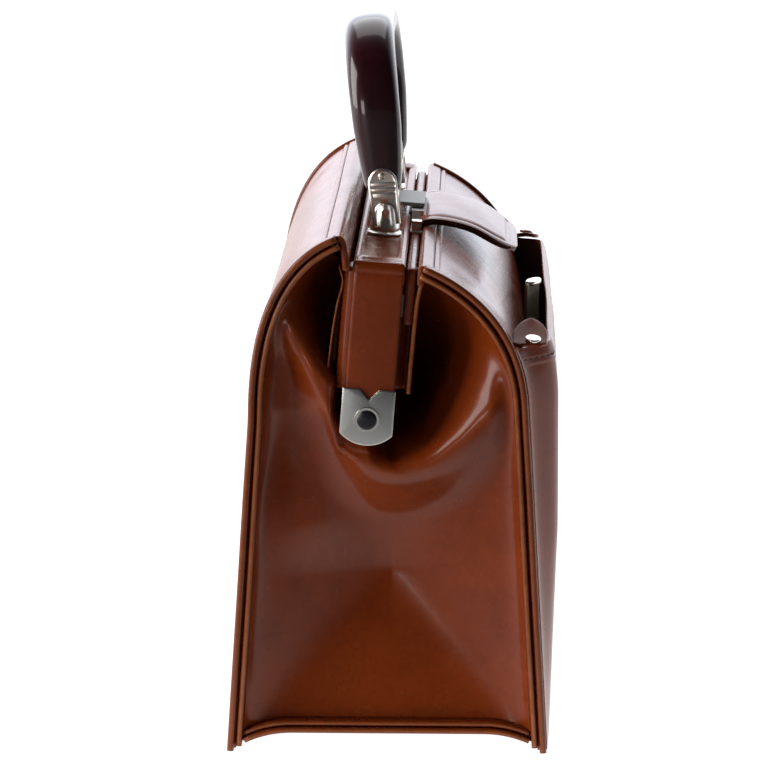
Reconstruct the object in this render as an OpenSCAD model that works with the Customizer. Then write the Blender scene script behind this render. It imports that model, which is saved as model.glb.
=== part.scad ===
// Small doctor bag: a leather body hung on two hinged steel frame halves.
// X runs along the bag, -Y is the pocket side, +Z is up. Origin: middle of the resting plane.

/* [Body] */
// Length of the body from end seam to end seam
body_len = 240; // [210:5:280]
// Depth of the body across its bottom welts
base_depth = 114; // [108:1:116]
// Depth of the body at the level of the hinge
hinge_depth = 99; // [96:1:102]
// Thickness of the stiffened leather panels
panel_t = 2.6; // [1.8:0.2:3]
// Height of the fixed lower part of the side walls
lower_z = 106; // [98:1:108]
// Width of a folded end seam, measured along the bag
welt_w = 3; // [2:0.5:4]
// Thickness of a folded end seam
welt_t = 5; // [4:0.5:5.5]

/* [Frame] */
// Height of the hinge rivets above the resting plane
hinge_z = 123; // [121:1:128]
// Distance of the hinge rivets behind the middle of the body
hinge_y = 7; // [5:1:8]
// Height of the frame above the hinge rivets
frame_rise = 56; // [54:1:60]
// Width of the covered outer frame
frame_w = 18; // [16:1:19]
// Thickness of the covered outer frame
frame_t = 6.2; // [5:0.2:7]
// Thickness of the steel strip in both frames
steel_t = 2; // [1.5:0.5:2]
// Lean of the closed frame towards the pocket side, in degrees
frame_lean = 4.5; // [0:0.5:6]
// Width of the covered inner frame's top rail
inner_rail_w = 4.6; // [4:0.2:6]
// Radius of the hinge rivets
rivet_r = 2.2; // [1.5:0.1:2.5]
// Running clearance around the hinge rivets and handle pins
pin_gap = 0.05; // [0.02:0.01:0.08]

/* [Handle] */
// Distance from the middle of the bag to each handle pin post
handle_half = 47; // [42:1:52]
// Width of the wooden grip across the bag
grip_w = 18.4; // [16:0.2:20]
// Thickness of the wooden grip
grip_t = 12; // [10:0.5:14]
// Height of the top of the grip above its pins
grip_rise = 70; // [62:1:76]
// Lean of the resting handle towards the back, in degrees
handle_lean = 6; // [0:0.5:8]

/* [Pocket and flap] */
// Height of the front pocket's rim
pocket_z = 148; // [138:1:149]
// Depth of the front pocket's mouth
pocket_mouth = 11; // [10:0.5:12]
// Thickness of the pocket leather
pocket_t = 1.8; // [1.4:0.2:2.2]
// Width of the tongue flap along the bag
flap_len = 66; // [50:2:80]
// Thickness of the tongue flap
flap_t = 2.4; // [2:0.2:3]

/* [Hidden] */
$fn = 48;

leather = [0.36, 0.13, 0.05];
leather_edge = [0.47, 0.2, 0.09];
steel = [0.5, 0.5, 0.52];
nickel = [0.78, 0.78, 0.76];

// Body outline across the bag
half_len = body_len / 2;
panel_half_len = half_len - welt_w;
base_half = base_depth / 2;
hinge_half = hinge_depth / 2;
front_knee = [-hinge_half, 128];
front_brow = [-13.2, 178];
front_pull = [[-48, 157], [-28, 172]];
back_knee = [hinge_half - 1, 123];
back_brow = [18, 188.5];
back_pull = [[48.5, 160], [37, 181]];
tuck_z = 184.5;
tuck_y = 15.4;
curve_steps = 10;

// Plates and seams of the body
bottom_z = 4;
bottom_t = 2;
bottom_half = base_half - panel_t - 0.6;
gusset_t = 2;
gusset_x = panel_half_len - 4;
gusset_foot_z = 9;
seam_gap = 0.2;
join_gap = 0.5;
gusset_inset = panel_t + 0.4;
gusset_top_z = lower_z - 4;
lining_inset = panel_t + 0.6;
lining_top_z = lower_z - 5;
welt_proud = 0.8;
magnet_z = 148;
magnet_r = 5;
lining_t = 0.8;
board_t = 2;

// Frame, in its own leaning coordinates with the rivet axis at the origin
arm_end_r = frame_w / 2;
outer_x = half_len - 4;
outer_in_x = outer_x - frame_t;
outer_core_x = outer_x - 3;
half_gap = 0.3;
inner_x = outer_in_x - half_gap;
inner_t = 6;
inner_in_x = inner_x - inner_t;
inner_core_x = inner_x - 2;
rail_t = 6.5;
rail_gap = 0.4;
inner_top_w = frame_rise - 1.5;
inner_arm_w = frame_rise - 10;
inner_low_w = 34;
recess_w = 12;
recess_d = 1.5;
core_half_w = 7;
plate_t = 1.2;
rivet_head_t = 1.2;

// Handle pivot
pin_w = frame_rise + 8;
pin_r = 1.5;
leg_x0 = handle_half - grip_t / 2;
leg_x1 = handle_half + grip_t / 2;
stirrup_t = 1.2;
stirrup_r = 5.3;
handle_y = hinge_y - pin_w * sin(frame_lean);
handle_z = hinge_z + pin_w * cos(frame_lean);

// Lock
case_half = 20;
case_top_w = frame_rise + 4;
hasp_w = case_top_w + 0.5;
hasp_half = 14;
hasp_pin_v = 0.5;
hasp_t = 1.4;
hasp_pin_w = hasp_w + hasp_t;
hasp_pin_r = 0.85;
button_x = -34;
track_t = 0.8;
rail_front_v = -frame_w / 2 - rail_gap - inner_rail_w;

// A point on a cubic curve, and the curve as a path without its first point
function bezier(a, b, c, d, t) =
    pow(1 - t, 3) * a + 3 * t * pow(1 - t, 2) * b + 3 * t * t * (1 - t) * c + pow(t, 3) * d;
function curve(a, b, c, d) = [for (i = [1 : curve_steps]) bezier(a, b, c, d, i / curve_steps)];

// A path moved sideways by d, to the left of its direction
function heading(p, i) = p[min(i + 1, len(p) - 1)] - p[max(i - 1, 0)];
function left_of(h) = [-h[1], h[0]] / norm(h);
function beside(p, d) = [for (i = [0 : len(p) - 1]) p[i] + d * left_of(heading(p, i))];
function backwards(p) = [for (i = [len(p) - 1 : -1 : 0]) p[i]];
function ribbon(p, a, b) = concat(beside(p, a), backwards(beside(p, b)));

// Outer faces of the walls at a height below the hinge
function front_y(z) = -base_half + (base_half - hinge_half) * z / front_knee[1];
function back_y(z) = base_half - (base_half - back_knee[0]) * z / back_knee[1];

front_up_path = concat(
    [[front_y(lower_z + join_gap), lower_z + join_gap], front_knee],
    curve(front_knee, front_pull[0], front_pull[1], front_brow)
);
back_up_path = concat(
    [[back_y(lower_z + join_gap), lower_z + join_gap], back_knee],
    curve(back_knee, back_pull[0], back_pull[1], back_brow),
    [[tuck_y, tuck_z]]
);

// Lays a drawing of (y, z) across the bag and gives it a length along X
module along_x(len) {
    rotate([90, 0, 90]) linear_extrude(height = len, center = true) children();
}

// The same, between two stations on the +X side
module slab_x(x0, x1) {
    translate([(x0 + x1) / 2, 0, 0]) along_x(x1 - x0) children();
}

// The frame's leaning coordinates: v across the bag, w up, rivet axis at 0, 0
module in_frame() {
    translate([0, hinge_y, hinge_z]) rotate([frame_lean, 0, 0]) children();
}

// The handle's coordinates, with its pins at 0, 0
module in_handle() {
    translate([0, handle_y, handle_z]) rotate([-handle_lean, 0, 0]) children();
}

// Puts a piece drawn on the +X side at the left (-X) or right (+X) end
module at_end(side) {
    mirror([side < 0 ? 1 : 0, 0, 0]) children();
}

module both_ends() {
    at_end(-1) children();
    at_end(1) children();
}

// ---------------------------------------------------------------- body

module bottom_panel() {
    color(leather)
    translate([-gusset_x, -bottom_half, bottom_z])
        cube([2 * gusset_x, 2 * bottom_half, bottom_t]);
}

module base_board() {
    color([0.2, 0.16, 0.12])
    translate([-gusset_x + 1, 3 - bottom_half, bottom_z + bottom_t])
        cube([2 * gusset_x - 2, 2 * bottom_half - 6, board_t]);
}

// The section of a fixed lower wall, with a level foot: from a to b inside its outer face
module front_section(a, b) {
    polygon([
        [front_y(0) + a, 0], [front_y(lower_z) + a, lower_z],
        [front_y(lower_z) + b, lower_z], [front_y(0) + b, 0]
    ]);
}

module back_section(a, b) {
    polygon([
        [back_y(0) - a, 0], [back_y(lower_z) - a, lower_z],
        [back_y(lower_z) - b, lower_z], [back_y(0) - b, 0]
    ]);
}

module front_panel_lower() {
    color(leather) along_x(2 * panel_half_len) front_section(0, panel_t);
}

module front_panel_upper() {
    color(leather) along_x(2 * panel_half_len) polygon(ribbon(front_up_path, 0, -panel_t));
}

module back_panel_lower() {
    color(leather) along_x(2 * panel_half_len) back_section(0, panel_t);
}

module back_panel_upper() {
    color(leather) along_x(2 * panel_half_len) polygon(ribbon(back_up_path, 0, panel_t));
}

// The flat lower part of an end gusset, between the two walls
module gusset_lower() {
    color(leather) slab_x(gusset_x, gusset_x + gusset_t)
        polygon([
            [front_y(gusset_foot_z) + gusset_inset, gusset_foot_z],
            [back_y(gusset_foot_z) - gusset_inset, gusset_foot_z],
            [back_y(lower_z) - gusset_inset, gusset_top_z],
            [front_y(lower_z) + gusset_inset, gusset_top_z]
        ]);
}

// The edges of the two wings that pass the frame arm, from beside the hinge up and out to the wall
front_wing = [[-6, 108], [-15, 126], [-17, 160], [-30, 160], [-40, 150]];
back_wing = [[20, 108], [25, 126], [22, 168], [30, 168], [39, 155]];

// The folded upper part: a wing on each side of the frame arm
module gusset_upper() {
    foot = gusset_top_z + seam_gap;
    knee_z = front_knee[1];
    knee_inset = gusset_inset + 0.4;
    color(leather) slab_x(gusset_x, gusset_x + gusset_t) {
        polygon(concat(
            [[front_y(foot) + gusset_inset, foot], [front_wing[0][0], foot]],
            front_wing, [[front_y(knee_z) + knee_inset, knee_z]]
        ));
        polygon(concat(
            [[back_y(foot) - gusset_inset, foot], [back_wing[0][0], foot]],
            back_wing, [[back_y(knee_z) - knee_inset, knee_z]]
        ));
    }
}

module gusset_left_lower() { at_end(-1) gusset_lower(); }
module gusset_right_lower() { at_end(1) gusset_lower(); }
module gusset_left_upper() { at_end(-1) gusset_upper(); }
module gusset_right_upper() { at_end(1) gusset_upper(); }

// A folded seam that closes the end of a wall, a little proud of its outer face
module front_welts_lower() {
    color(leather_edge) both_ends() slab_x(panel_half_len, half_len)
        front_section(-welt_proud, welt_t - welt_proud);
}

module back_welts_lower() {
    color(leather_edge) both_ends() slab_x(panel_half_len, half_len)
        back_section(-welt_proud, welt_t - welt_proud);
}

module front_welts_upper() {
    color(leather_edge) both_ends() slab_x(panel_half_len, half_len)
        polygon(ribbon(front_up_path, welt_proud, welt_proud - welt_t));
}

module back_welts_upper() {
    color(leather_edge) both_ends() slab_x(panel_half_len, half_len)
        polygon(ribbon(back_up_path, -welt_proud, welt_t - welt_proud));
}

// An open cloth box inside the lower body
module lining() {
    floor_z = bottom_z + bottom_t + board_t;
    top = lining_top_z;
    outer = lining_inset;
    inner = lining_inset + lining_t;
    length = 2 * gusset_x - 2 * seam_gap;
    color([0.45, 0.36, 0.24]) difference() {
        along_x(length) polygon([
            [front_y(floor_z) + outer, floor_z], [back_y(floor_z) - outer, floor_z],
            [back_y(top) - outer, top], [front_y(top) + outer, top]
        ]);
        along_x(length - 2 * lining_t) polygon([
            [front_y(floor_z) + inner, floor_z + lining_t],
            [back_y(floor_z) - inner, floor_z + lining_t],
            [back_y(top) - inner, top + 1],
            [front_y(top) + inner, top + 1]
        ]);
    }
}

// A flat slip pocket sewn on the back of the lining
module inner_pocket() {
    inset = lining_inset + lining_t;
    low = 45;
    high = 92;
    t = 1.2;
    length = 150;
    color([0.4, 0.32, 0.2]) along_x(length) polygon([
        [back_y(low) - inset, low], [back_y(high) - inset, high],
        [back_y(high) - inset - t, high], [back_y(low) - inset - t, low]
    ]);
}

// ---------------------------------------------------------------- front pocket

pocket_foot_z = 1;
pocket_floor_z = 14;
pocket_turn = 14;
pocket_half_len = panel_half_len - 1;
pocket_edge_y = front_knee[0] - pocket_mouth;
tab_x = panel_half_len - 10;

// The pocket's outer face, from the foot to the rim
pocket_path = [
    [front_y(pocket_foot_z) - 1.4, pocket_foot_z], [front_y(30) - 4, 30], [front_y(80) - 8.5, 80],
    [pocket_edge_y, pocket_z - pocket_turn], [pocket_edge_y + 0.6, pocket_z]
];

module front_pocket() {
    skin = 0.2;
    knee_z = front_knee[1];
    brow = front_y(pocket_z) + 1;
    floor_y = front_y(pocket_floor_z);
    color(leather) difference() {
        along_x(2 * pocket_half_len) polygon(concat(pocket_path, [
            [brow - skin, pocket_z], [front_y(knee_z) - skin, knee_z],
            [front_y(pocket_foot_z) - skin, pocket_foot_z]
        ]));
        along_x(2 * (pocket_half_len - pocket_t)) polygon(concat(
            [[floor_y - 0.9, pocket_floor_z]],
            beside([for (i = [1 : 4]) pocket_path[i]], -pocket_t),
            [pocket_path[4] + [pocket_t, 5], [0, pocket_z + 5], [0, knee_z],
                [floor_y + 1, pocket_floor_z]]
        ));
    }
}

// A stitched band around the outside of the pocket's rim
module pocket_hem() {
    hem_h = 6;
    hem_t = 0.8;
    top = pocket_path[4];
    low = top + (pocket_path[3] - top) * hem_h / pocket_turn;
    color(leather_edge) along_x(2 * pocket_half_len) polygon(ribbon([low, top], 0, hem_t));
}

// A small leather tab that bridges the mouth of the pocket near its end
module pocket_tab() {
    half_w = 6;
    tab_t = 1.6;
    foot = [pocket_edge_y + 3.2, pocket_z + 0.6];
    head = [front_knee[0] + 3.4, pocket_z + 6.6];
    color(leather) slab_x(tab_x - half_w, tab_x + half_w) polygon(ribbon([foot, head], 0, -tab_t));
}

// The press stud on a pocket tab
module tab_snap() {
    snap_r = 2.5;
    snap_t = 1.2;
    slope = atan2(6, pocket_mouth + 0.2);
    color(nickel)
    translate([tab_x, front_knee[0] - 4.6, pocket_z + 3.5]) rotate([slope, 0, 0])
        cylinder(r = snap_r, h = snap_t);
}

module pocket_tab_left() { at_end(-1) pocket_tab(); }
module pocket_tab_right() { at_end(1) pocket_tab(); }
module tab_snap_left() { at_end(-1) tab_snap(); }
module tab_snap_right() { at_end(1) tab_snap(); }

// A short strap that stands in the middle of the pocket's mouth and holds its magnet
module magnet_strap() {
    strap_w = 16;
    strap_t = 1.4;
    foot_z = 126;
    color([0.5, 0.45, 0.36])
    translate([-strap_w / 2, front_knee[0] - 3.6, foot_z])
        cube([strap_w, strap_t, magnet_z - foot_z]);
}

module pocket_magnet() {
    color(nickel)
    translate([0, front_knee[0] - 2.9, magnet_z])
        cylinder(r = magnet_r, h = 1.6);
}

// ---------------------------------------------------------------- outer frame half, at the back

// An arm's outline: a round end about the rivet, straight up to a height
module arm_outline(half_w, top) {
    circle(r = half_w);
    translate([-half_w, 0]) square([2 * half_w, top]);
}

module rivet_bore(r) {
    rotate([0, 90, 0]) cylinder(r = r, h = body_len, center = true);
}

module outer_core() {
    both_ends() slab_x(outer_core_x - steel_t, outer_core_x)
        arm_outline(core_half_w, frame_rise - 3);
    along_x(2 * outer_core_x - 1) translate([-core_half_w, frame_rise - 3 - steel_t])
        square([2 * core_half_w, steel_t]);
}

module back_frame_steel() {
    color(steel) in_frame() difference() {
        outer_core();
        rivet_bore(rivet_r);
    }
}

module back_frame_leather() {
    color(leather) in_frame() difference() {
        union() {
            both_ends() slab_x(outer_in_x, outer_x) arm_outline(arm_end_r, frame_rise);
            along_x(2 * outer_x - 1) translate([-frame_w / 2, frame_rise - rail_t])
                square([frame_w, rail_t]);
        }
        outer_core();
        rivet_bore(rivet_r);
        translate([0, 0, frame_rise])
            cube([2 * outer_x - 24, recess_w, 2 * recess_d], center = true);
    }
}

// The outer hinge plate, with a V cut in its top edge and a rounded foot
module hinge_plate() {
    half_w = 9.5;
    top = 11;
    foot = -9.6;
    notch_w = 3.6;
    notch_d = 3.7;
    foot_r = 13;
    color(nickel) in_frame() difference() {
        slab_x(outer_x, outer_x + plate_t) intersection() {
            difference() {
                translate([-half_w, foot]) square([2 * half_w, top - foot]);
                polygon([[-notch_w, top + 0.1], [notch_w, top + 0.1], [0, top - notch_d]]);
            }
            translate([0, foot + foot_r]) {
                circle(r = foot_r);
                translate([-half_w, 0]) square([2 * half_w, top]);
            }
        }
        rivet_bore(rivet_r);
    }
}

// A hinge rivet: shank, broad outer ring and flat inner head
module hinge_rivet() {
    ring_r = 4.4;
    outside = outer_x + plate_t;
    inside = inner_in_x - plate_t - 0.1;
    color(nickel) in_frame() rotate([0, 90, 0]) {
        translate([0, 0, inside]) cylinder(r = rivet_r, h = outside - inside);
        translate([0, 0, outside]) cylinder(r = ring_r, h = rivet_head_t);
        translate([0, 0, inside - rivet_head_t]) cylinder(r = ring_r, h = rivet_head_t);
    }
}

module rivet_cap() {
    cap_r = 3.6;
    cap_t = 0.6;
    color([0.05, 0.05, 0.05]) in_frame() rotate([0, 90, 0])
        translate([0, 0, outer_x + plate_t + rivet_head_t])
            cylinder(r1 = cap_r, r2 = cap_r - 0.5, h = cap_t);
}

module hinge_plate_left() { at_end(-1) hinge_plate(); }
module hinge_plate_right() { at_end(1) hinge_plate(); }
module hinge_rivet_left() { at_end(-1) hinge_rivet(); }
module hinge_rivet_right() { at_end(1) hinge_rivet(); }
module rivet_cap_left() { at_end(-1) rivet_cap(); }
module rivet_cap_right() { at_end(1) rivet_cap(); }

// A bell-shaped foot and a post with the cross hole for the handle pin
module handle_base() {
    foot_w = frame_rise - recess_d;
    foot_r = 5.9;
    foot_t = 1.2;
    bell_w = foot_w + foot_t + 5;
    post_r = 3.4;
    color(nickel) in_frame() difference() {
        translate([handle_half, 0, 0]) {
            translate([0, 0, foot_w]) cylinder(r = foot_r, h = foot_t);
            translate([0, 0, foot_w + foot_t])
                cylinder(r1 = foot_r - 0.1, r2 = post_r, h = bell_w - foot_w - foot_t);
            translate([0, 0, bell_w]) cylinder(r = post_r, h = pin_w - bell_w);
            translate([0, 0, pin_w]) sphere(r = post_r);
        }
        translate([0, 0, pin_w]) rivet_bore(pin_r);
    }
}

module handle_pin() {
    proud = 0.6;
    color(nickel) in_frame() translate([leg_x0 - stirrup_t - proud, 0, pin_w]) rotate([0, 90, 0])
        cylinder(r = pin_r, h = grip_t + 2 * stirrup_t + 2 * proud);
}

module handle_base_left() { at_end(-1) handle_base(); }
module handle_base_right() { at_end(1) handle_base(); }
module handle_pin_left() { at_end(-1) handle_pin(); }
module handle_pin_right() { at_end(1) handle_pin(); }

// The block on the outer frame that carries the hasp's hinge
module hasp_mount() {
    half_w = hasp_half - 5;
    depth = 6;
    foot_w = frame_rise - recess_d;
    color(nickel) in_frame() difference() {
        translate([-half_w, hasp_pin_v - depth / 2, foot_w])
            cube([2 * half_w, depth, hasp_pin_w + 1.2 - foot_w]);
        translate([0, hasp_pin_v, hasp_pin_w]) rivet_bore(hasp_pin_r + pin_gap);
    }
}

// ---------------------------------------------------------------- inner frame half, at the front

module inner_arm(half_w, out_v, top, low) {
    arm_outline(half_w, top);
    translate([-out_v, low]) square([out_v + half_w, top - low]);
}

module inner_core() {
    skin = 1.5;
    edge = 2;
    out_v = -rail_front_v - skin;
    both_ends() slab_x(inner_core_x - steel_t, inner_core_x)
        inner_arm(core_half_w, out_v, inner_arm_w - edge, inner_low_w + edge);
    along_x(2 * inner_core_x) translate([-out_v, inner_low_w + edge])
        square([steel_t - 0.5, inner_top_w - inner_low_w - 2 * edge]);
}

module front_frame_steel() {
    color(steel) in_frame() difference() {
        inner_core();
        rivet_bore(rivet_r + pin_gap);
    }
}

module front_frame_leather() {
    color(leather) in_frame() difference() {
        union() {
            both_ends() slab_x(inner_in_x, inner_x)
                inner_arm(arm_end_r, -rail_front_v, inner_arm_w, inner_low_w);
            along_x(2 * inner_x) translate([rail_front_v, inner_low_w])
                square([inner_rail_w, inner_top_w - inner_low_w]);
        }
        inner_core();
        rivet_bore(rivet_r + pin_gap);
    }
}

module inner_hinge_plate() {
    color(nickel) in_frame() difference() {
        slab_x(inner_in_x - plate_t, inner_in_x) arm_outline(7.5, 16);
        rivet_bore(rivet_r + pin_gap);
    }
}

module inner_hinge_plate_left() { at_end(-1) inner_hinge_plate(); }
module inner_hinge_plate_right() { at_end(1) inner_hinge_plate(); }

// The lock case on the inner rail, with a slot that is open towards the outer frame
module lock_case() {
    wall = 1.2;
    slot_half = 4;
    color(nickel) in_frame() difference() {
        translate([-case_half, rail_front_v, inner_top_w])
            cube([2 * case_half, inner_rail_w, case_top_w - inner_top_w]);
        translate([-slot_half, rail_front_v + wall, inner_top_w + wall])
            cube([2 * slot_half, inner_rail_w, case_top_w]);
    }
}

// A shallow plate that the release button slides on
module lock_slide_track() {
    from_x = button_x - 6;
    edge = 0.2;
    color(steel) in_frame()
        translate([from_x, rail_front_v + edge, inner_top_w])
            cube([-case_half - from_x, inner_rail_w - 2 * edge, track_t]);
}

// The release button: a slide with a raised thumb piece
module lock_button() {
    edge = 0.5;
    slide_t = 1.4;
    color(nickel) in_frame()
        translate([button_x - 4, rail_front_v + edge, inner_top_w + track_t + 0.1]) {
            cube([10, inner_rail_w - 2 * edge, slide_t]);
            translate([2, 0, slide_t]) cube([5, inner_rail_w - 2 * edge, 1.8]);
        }
}

// The hinged hasp: a plate over the lock case, a curl round its hinge pin and a stud below
module hasp_plate() {
    back_v = -3;
    curl_r = 1.6;
    curl_w = 4.4;
    stud = [4, 2, 2.7];
    color(nickel) in_frame() {
        translate([-hasp_half, rail_front_v, hasp_w])
            cube([2 * hasp_half, back_v - rail_front_v, hasp_t]);
        for (side = [-1, 1]) translate([side * (hasp_half - curl_w / 2), 0, 0]) {
            translate([-curl_w / 2, back_v - 0.2, hasp_w])
                cube([curl_w, hasp_pin_v - back_v + 0.2, hasp_t]);
            translate([0, hasp_pin_v, hasp_pin_w]) rotate([0, 90, 0])
                cylinder(r = curl_r, h = curl_w, center = true);
        }
        translate([0, hasp_pin_v, hasp_pin_w]) rotate([0, 90, 0])
            cylinder(r = hasp_pin_r, h = 2 * hasp_half - 2, center = true);
        translate([-stud[0] / 2, rail_front_v + 2, hasp_w - stud[2] + 0.1]) cube(stud);
    }
}

// ---------------------------------------------------------------- handle

module d_outline(half_w, low, top, r) {
    translate([-half_w, low]) square([2 * half_w, top - r - low]);
    translate([-half_w + r, low]) square([2 * (half_w - r), top - low]);
    for (side = [-1, 1]) translate([side * (half_w - r), top - r]) circle(r = r);
}

module handle_grip() {
    low = 6;
    outer_r = 32;
    inner_r = 22;
    color([0.1, 0.03, 0.03]) in_handle() intersection() {
        rotate([90, 0, 0]) linear_extrude(height = grip_w, center = true) difference() {
            d_outline(leg_x1, low, grip_rise, outer_r);
            d_outline(leg_x0, low - 1, grip_rise - grip_t, inner_r);
        }
        along_x(2 * leg_x1 + 2) {
            translate([0, low + grip_w / 2]) circle(r = grip_w / 2);
            translate([-grip_w / 2, low + grip_w / 2]) square([grip_w, grip_rise]);
        }
    }
}

// Two cheeks on the grip's end, one each side of the post
module handle_stirrup() {
    reach = 11;
    color(nickel) in_handle() difference() {
        for (x0 = [leg_x0 - stirrup_t, leg_x1]) slab_x(x0, x0 + stirrup_t) {
            circle(r = stirrup_r);
            translate([0, reach]) circle(r = stirrup_r);
            translate([-stirrup_r, 0]) square([2 * stirrup_r, reach]);
        }
        rivet_bore(pin_r + pin_gap);
    }
}

module handle_stirrup_left() { at_end(-1) handle_stirrup(); }
module handle_stirrup_right() { at_end(1) handle_stirrup(); }

// ---------------------------------------------------------------- tongue flap

flap_path = [[-16.6, 181.2], [-31, 178], [-47, 168]];
flap_under = beside(flap_path, flap_t);

// The strip that sews the flap to the top edge of the front panel
module flap_anchor() {
    root = flap_path[0];
    color(leather_edge) along_x(flap_len)
        polygon(ribbon([root + [4.6, 0.3], root + [0.3, 0]], 0, flap_t - 0.4));
}

// The flap's upper length, from its seam to the line it bends on
module flap_upper() {
    color(leather) along_x(flap_len)
        polygon([flap_path[0], flap_path[1], flap_under[1], flap_under[0]]);
}

// The flap's free end, with rounded corners
module flap() {
    tip_r = 16;
    tip = flap_path[2];
    bend = flap_path[1];
    color(leather) intersection() {
        along_x(flap_len) polygon([bend, tip, flap_under[2], flap_under[1]]);
        translate([0, 0, tip[1] - 10]) linear_extrude(height = 40) {
            translate([-flap_len / 2, tip[0] + tip_r])
                square([flap_len, bend[0] - tip[0] - tip_r + 3]);
            translate([-flap_len / 2 + tip_r, tip[0] - 1])
                square([flap_len - 2 * tip_r, tip_r + 2]);
            for (side = [-1, 1])
                translate([side * (flap_len / 2 - tip_r), tip[0] + tip_r]) circle(r = tip_r);
        }
    }
}

module flap_magnet() {
    slide = flap_path[1] - flap_path[2];
    magnet_t = 1.2;
    color(nickel)
    translate([0, flap_path[2][0] + slide[0] / 2, flap_path[2][1] + slide[1] / 2])
        rotate([atan2(slide[1], slide[0]), 0, 0])
            translate([0, 0, -flap_t - magnet_t]) cylinder(r = magnet_r, h = magnet_t);
}

bottom_panel();
base_board();
front_panel_lower();
front_panel_upper();
back_panel_lower();
back_panel_upper();
gusset_left_lower();
gusset_left_upper();
gusset_right_lower();
gusset_right_upper();
front_welts_lower();
front_welts_upper();
back_welts_lower();
back_welts_upper();
lining();
inner_pocket();
front_pocket();
pocket_hem();
pocket_tab_left();
pocket_tab_right();
tab_snap_left();
tab_snap_right();
magnet_strap();
pocket_magnet();
back_frame_steel();
back_frame_leather();
hinge_plate_left();
hinge_plate_right();
hinge_rivet_left();
hinge_rivet_right();
rivet_cap_left();
rivet_cap_right();
handle_base_left();
handle_base_right();
handle_pin_left();
handle_pin_right();
hasp_mount();
front_frame_steel();
front_frame_leather();
inner_hinge_plate_left();
inner_hinge_plate_right();
lock_case();
lock_slide_track();
flap_anchor();
flap_upper();
handle_grip();
handle_stirrup_left();
handle_stirrup_right();
hasp_plate();
lock_button();
flap();
flap_magnet();
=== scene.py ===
import math
import bmesh
import bpy
import numpy as np
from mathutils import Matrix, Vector


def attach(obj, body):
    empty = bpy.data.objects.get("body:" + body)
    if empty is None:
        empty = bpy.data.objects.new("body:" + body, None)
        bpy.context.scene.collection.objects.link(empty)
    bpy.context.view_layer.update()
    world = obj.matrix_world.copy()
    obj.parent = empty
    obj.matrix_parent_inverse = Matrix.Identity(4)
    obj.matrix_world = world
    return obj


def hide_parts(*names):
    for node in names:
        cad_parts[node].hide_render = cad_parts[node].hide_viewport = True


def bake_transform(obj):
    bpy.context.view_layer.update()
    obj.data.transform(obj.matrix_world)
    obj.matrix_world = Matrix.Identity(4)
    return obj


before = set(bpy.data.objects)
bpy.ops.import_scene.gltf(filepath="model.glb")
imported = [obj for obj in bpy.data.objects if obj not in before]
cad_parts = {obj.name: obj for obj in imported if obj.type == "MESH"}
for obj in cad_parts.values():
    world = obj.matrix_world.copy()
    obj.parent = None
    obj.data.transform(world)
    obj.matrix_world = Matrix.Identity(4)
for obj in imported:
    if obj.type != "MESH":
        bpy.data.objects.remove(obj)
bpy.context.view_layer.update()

# Looks of a small doctor bag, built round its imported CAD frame. The scene is in metres. Shapes are
# worked out in millimetres, in the same axes, and scaled in mesh(). The two ends are close to mirror
# images, so most end pieces are built by one loop, for side -1 (left) and side 1 (right).

MM = 0.001
ENDS = ((-1, "left"), (1, "right"))
LEAN = math.radians(4.5)
HANDLE_LEAN = math.radians(6)
HINGE = np.array([7.0, 123.0])
PIN = np.array([1.979, 186.803])


# ---- riding

def ride(ob, body, slot, *nodes):
    """Rides a piece on a body. nodes are the CAD nodes that it stands for."""
    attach(ob, body)
    if nodes:
        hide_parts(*nodes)


def bend(ob, half, slot, *nodes):
    """Bakes a piece's placement into its mesh and hides the CAD nodes that it stands for. half is not
    used.
    """
    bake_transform(ob)
    if nodes:
        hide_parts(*nodes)


# ---- numbers and paths

def smooth(t):
    t = np.clip(t, 0, 1)
    return t * t * (3 - 2 * t)


def bell(t):
    return np.exp(-np.square(t))


def lerp(x, xs, ys):
    """A soft curve through (xs, ys): linear steps, averaged over a short window."""
    h = 0.06 * (xs[-1] - xs[0])
    return sum(np.interp(x + k * h, xs, ys) for k in (-1, -0.5, 0, 0.5, 1)) / 5


def unit(v):
    return v / np.maximum(np.linalg.norm(v, axis=-1, keepdims=True), 1e-9)


def front_y(z):
    return -57 + 7.5 * z / 128


def back_y(z):
    return 57 - 8.5 * z / 123


def bezier(a, b, c, d):
    t = np.linspace(0, 1, 60)[:, None]
    a, b, c, d = (np.array(p, float) for p in (a, b, c, d))
    return (1 - t) ** 3 * a + 3 * t * (1 - t) ** 2 * b + 3 * t * t * (1 - t) * c + t ** 3 * d


def arc_length(p):
    return np.concatenate([[0], np.cumsum(np.linalg.norm(np.diff(p, axis=0), axis=1))])


def follow(s, a, p):
    """Values of p, known at lengths a, at lengths s."""
    return np.stack([np.interp(s, a, p[:, k]) for k in range(p.shape[1])], -1)


def at_lengths(p, s):
    return follow(s, arc_length(p), p)


def resample(p, step):
    a = arc_length(p)[-1]
    return at_lengths(p, np.linspace(0, a, max(2, int(round(a / step)) + 1)))


def normals2(p, side):
    """Unit normals of a path of (y, z); side 1 is to the left of its direction."""
    t = unit(np.gradient(p, axis=0))
    return side * np.stack([-t[:, 1], t[:, 0]], 1)


def relax(p, rounds):
    p = np.array(p, float)
    for _ in range(rounds):
        p[1:-1] = 0.25 * p[:-2] + 0.5 * p[1:-1] + 0.25 * p[2:]
    return p


def noise(u, v, seed, count=6):
    """A repeatable soft wobble in -1..1 from a few waves."""
    rng = np.random.RandomState(seed)
    total = 0
    for _ in range(count):
        a, f, ph = rng.uniform(0, 2 * math.pi), rng.uniform(1.0, 3.0), rng.uniform(0, 2 * math.pi)
        total = total + np.sin(f * (u * math.cos(a) + v * math.sin(a)) + ph)
    return total / count


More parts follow.
